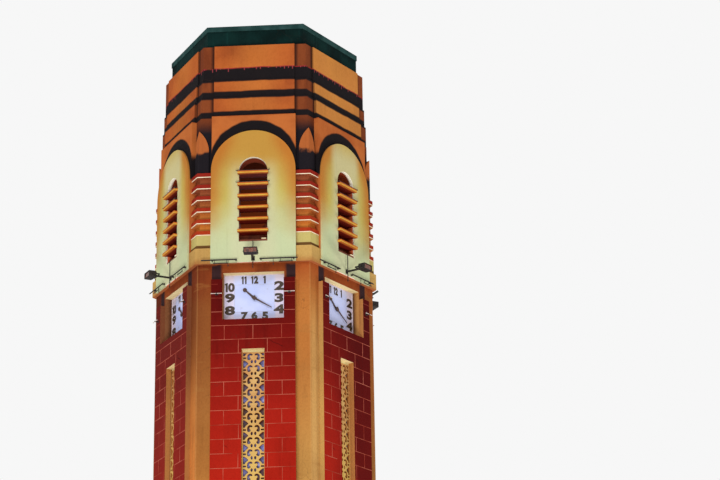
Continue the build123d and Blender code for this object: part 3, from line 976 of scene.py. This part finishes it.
def addCornerStrip(mesh, outLow, outHigh, half, low, high):
    outer, inner = cornerPlan(outHigh, half), cornerPlan(outLow, half)
    rows = []
    for level in (low, high):
        rows.append([mesh.verts.new(point + Vector((0, 0, level))) for point in outer + inner[::-1]])
    count = len(rows[0])
    mesh.faces.new(rows[1])
    mesh.faces.new(rows[0][::-1])
    for index in range(count):
        other = (index + 1) % count
        mesh.faces.new((rows[0][index], rows[0][other], rows[1][other], rows[1][index]))


def makeRibHighlights():
    mesh = bmesh.new()
    half = tower["archHalf"] + drip["overlap"]
    for index in range(tower["ribs"]):
        level = tower["ribFirst"] + tower["ribPitch"] * index
        addCornerStrip(mesh, *about(drip["out"], drip["proud"]), half, *around(level, *drip["tall"]))
    place("rib_highlights", mesh, "drip")


rod = {
    "levels": (21.81, 21.495), "out": 2.712, "reach": 0.43, "radius": 0.0105, "sides": 8,
    "tilt": (0.008, 0.012), "clip": ((0.384, 0.396), (-0.05, 0.006), (-0.012, 0.022)),
    "stop": ((0.426, 0.436), (-0.006, 0.006), (0.002, 0.034)), "bevel": 0.002,
}
sill = {
    "half": 0.362, "board": ((2.42, 2.60), (19.932, 19.985)), "back": ((2.36, 2.41), (19.932, 20.16)),
    "bevel": 0.006, "block": ((0.21, 0.33), (2.585, 2.616), (19.988, 20.014)), "blockBevel": 0.004,
}


def makeRods():
    rods = bmesh.new()
    reach, out = rod["reach"], rod["out"]
    for level in rod["levels"]:
        left, right = around(level, *rod["tilt"])
        addRod(rods, at(-reach, out, left), at(reach, out, right), rod["radius"], rod["sides"])
        for side in (-1, 1):
            for across, deep, tall in (rod["clip"], rod["stop"]):
                addBlock(rods, sided(side, *across), around(out, *deep), around(level, *tall), rod["bevel"])
    place("louvre_rods", rods, "steel")


def makeSills():
    boards = bmesh.new()
    for part in ("board", "back"):
        addBlock(boards, about(0, sill["half"]), *sill[part], sill["bevel"])
    place("sill_boards", boards, "sillWood")
    block = bmesh.new()
    addBlock(block, *sill["block"], sill["blockBevel"])
    place("sill_blocks", block, "drip")


makeRibHighlights()
makeRods()
makeSills()
print("belfry trimmed")


# floodlights: glass, cooling fins, a yoke with its bolts, a wall plate and the post's collars
flood = {
    "out": 3.10, "height": 19.47, "half": 0.17, "tall": 0.075, "sides": 6,
    "fins": 11, "finInset": 0.03, "finHalf": 0.004, "finOut": (-0.028, 0.001), "finShort": 0.01,
    "finBevel": 0.001,
    "boltOut": 3.19, "bolt": (-0.002, 0.022), "boltRadius": 0.016,
    "yoke": (0.002, 0.008), "yokeOut": (3.0, 3.215), "yokeBack": (2.994, 3.002), "yokeTall": 0.02,
    "yokeBevel": 0.0015,
    "plateHalf": 0.045, "plateOut": (2.6205, 2.632), "plateTall": 0.06, "plateBevel": 0.002,
    "screwAcross": 0.03, "screwLift": 0.045, "screwOut": (2.632, 2.642), "screwRadius": 0.009,
    "collarOut": 2.658, "collars": (19.215, 19.915), "collarTall": (0, 0.012), "collarRadius": 0.018,
    "glassInset": 0.014, "glassOut": (3.262, 3.272), "glassBevel": 0.003,
}


def addFins(mesh):
    half, inset, count = flood["half"], flood["finInset"], flood["fins"]
    reach = flood["tall"] - flood["finShort"]
    for index in range(count):
        across = -half + inset + index * (2 * half - 2 * inset) / (count - 1)
        addBlock(mesh, about(across, flood["finHalf"]), around(flood["out"], *flood["finOut"]),
                 about(flood["height"], reach), flood["finBevel"])


def addYoke(mesh):
    height, half, sides = flood["height"], flood["half"], flood["sides"]
    tall = about(height, flood["yokeTall"])
    arm = around(half, *flood["yoke"])
    for side in (-1, 1):
        ends = (at(side * across, flood["boltOut"], height) for across in around(half, *flood["bolt"]))
        addRod(mesh, *ends, flood["boltRadius"], sides)
        addBlock(mesh, sided(side, *arm), flood["yokeOut"], tall, flood["yokeBevel"])
    addBlock(mesh, about(0, arm[1]), flood["yokeBack"], tall, flood["yokeBevel"])


def makeFloodParts():
    steel = bmesh.new()
    height, sides = flood["height"], flood["sides"]
    addFins(steel)
    addYoke(steel)
    addBlock(steel, about(0, flood["plateHalf"]), flood["plateOut"], about(height, flood["plateTall"]),
             flood["plateBevel"])
    for across in about(0, flood["screwAcross"]):
        for level in about(height, flood["screwLift"]):
            addStud(steel, across, flood["screwOut"], level, flood["screwRadius"], sides)
    for level in flood["collars"]:
        tall = around(level, *flood["collarTall"])
        addUpright(steel, 0, flood["collarOut"], tall, flood["collarRadius"], sides)
    place("floodlight_parts", steel, "steel")
    glass = bmesh.new()
    wide, high = (flood[name] - flood["glassInset"] for name in ("half", "tall"))
    addBlock(glass, about(0, wide), flood["glassOut"], about(height, high), flood["glassBevel"])
    place("floodlight_glass", glass, "lens")


rail = {
    "height": 19.43, "out": 2.690, "blocks": (-1.03, -0.426, 0.202, 1.03),
    "nut": ((0.005, 0.016), 0.010, 6), "washer": ((0.004, 0.008), 0.015, 12),
    "bars": ((-1.0, -0.62), (0.66, 1.02)), "barHeight": 19.335, "barOut": (0.010, 0.030), "barHalf": 0.010,
    "barBevel": 0.003, "hangerInset": 0.04, "hangerTop": 0.015, "hangerOut": 0.02, "hangerRadius": 0.006,
    "pins": (-0.62, 0.52), "pin": ((-0.15, -0.012), 0.006), "knob": ((-0.18, -0.145), 0.013), "sides": 8,
}


def makeRailParts():
    mesh = bmesh.new()
    height, out, bar = rail["height"], rail["out"], rail["barHeight"]
    hung = out + rail["hangerOut"]
    for across in rail["blocks"]:
        for thick, radius, sides in (rail["nut"], rail["washer"]):
            addStud(mesh, across, around(out, *thick), height, radius, sides)
    for low, high in rail["bars"]:
        addBlock(mesh, (low, high), around(out, *rail["barOut"]), about(bar, rail["barHalf"]),
                 rail["barBevel"])
        for across in (low + rail["hangerInset"], high - rail["hangerInset"]):
            addUpright(mesh, across, hung, (bar, height - rail["hangerTop"]), rail["hangerRadius"],
                       rail["sides"])
    for across in rail["pins"]:
        for tall, radius in (rail["pin"], rail["knob"]):
            addUpright(mesh, across, hung, around(height, *tall), radius, rail["sides"])
    place("rail_parts", mesh, "steel")


makeFloodParts()
makeRailParts()
print("lamps and rails fitted")


# stage and light: pale floor, soft light from above and from the foot of the tower
stage = {"floor": "f6f5f2", "floorGlow": 0.20, "floorRough": 0.9, "cuts": 8, "size": 900.0, "backdrop": 0.93,
         "fill": 0.50}
suns = (
    {"name": "keyLight", "towards": -20, "rise": 32, "strength": 0.92, "soft": 24},
    {"name": "footLightFront", "towards": 0, "rise": -38, "strength": 1.36, "soft": 14},
    {"name": "footLightRight", "towards": 108, "rise": -34, "strength": 1.02, "soft": 14},
    {"name": "footLightLeft", "towards": 240, "rise": -34, "strength": 0.68, "soft": 14},
)
belfryLamp = {"height": 21.0, "power": 80, "radius": 0.4}


def makeFloor():
    bpy.ops.mesh.primitive_grid_add(x_subdivisions=stage["cuts"], y_subdivisions=stage["cuts"],
                                    size=stage["size"], location=(0, 0, 0))
    floor = bpy.context.object
    floor.name = "floor"
    floor.visible_shadow = False
    material, tree = startLook("paleFloor")
    seen = addNode(tree, "ShaderNodeLightPath", output="Is Camera Ray")
    finishLook(tree, paint(stage["floor"]), stage["floorRough"],
               Emission_Color=mix(seen, (0, 0, 0, 1), stage["floor"]), Emission_Strength=stage["floorGlow"])
    floor.data.materials.append(material)


def addLamp(name, kind):
    lamp = bpy.data.lights.new(name, kind)
    holder = bpy.data.objects.new(name, lamp)
    bpy.context.collection.objects.link(holder)
    return lamp, holder


def lightStage():
    for sun in suns:
        lamp, holder = addLamp(sun["name"], "SUN")
        lamp.energy = sun["strength"]
        lamp.angle = math.radians(sun["soft"])
        turn, lift = math.radians(sun["towards"]), math.radians(sun["rise"])
        source = Vector((math.sin(turn) * math.cos(lift), -math.cos(turn) * math.cos(lift), math.sin(lift)))
        holder.rotation_euler = source.to_track_quat("Z", "Y").to_euler()
    lamp, holder = addLamp("belfryLamp", "POINT")
    lamp.energy, lamp.shadow_soft_size = belfryLamp["power"], belfryLamp["radius"]
    holder.location = (0, 0, belfryLamp["height"])
    holder.visible_camera = False


def makeBackdrop():  # bright where it is seen, dimmer as a light
    world = bpy.data.worlds.new("studio")
    bpy.context.scene.world = world
    world.use_nodes = True
    tree = world.node_tree
    background = tree.nodes["Background"]
    rays = [addNode(tree, "ShaderNodeLightPath", output=name)
            for name in ("Is Camera Ray", "Is Glossy Ray", "Is Transmission Ray")]
    seen = rays[0].maths("MAXIMUM", rays[0].maths("MAXIMUM", rays[0], rays[1]), rays[2])
    feed(tree, background.inputs["Strength"], seen * (stage["backdrop"] - stage["fill"]) + stage["fill"])
    feed(tree, background.inputs["Color"], (1, 1, 1, 1))


makeFloor()
lightStage()
makeBackdrop()
bpy.context.scene.view_settings.view_transform = "Standard"
print("stage lit")
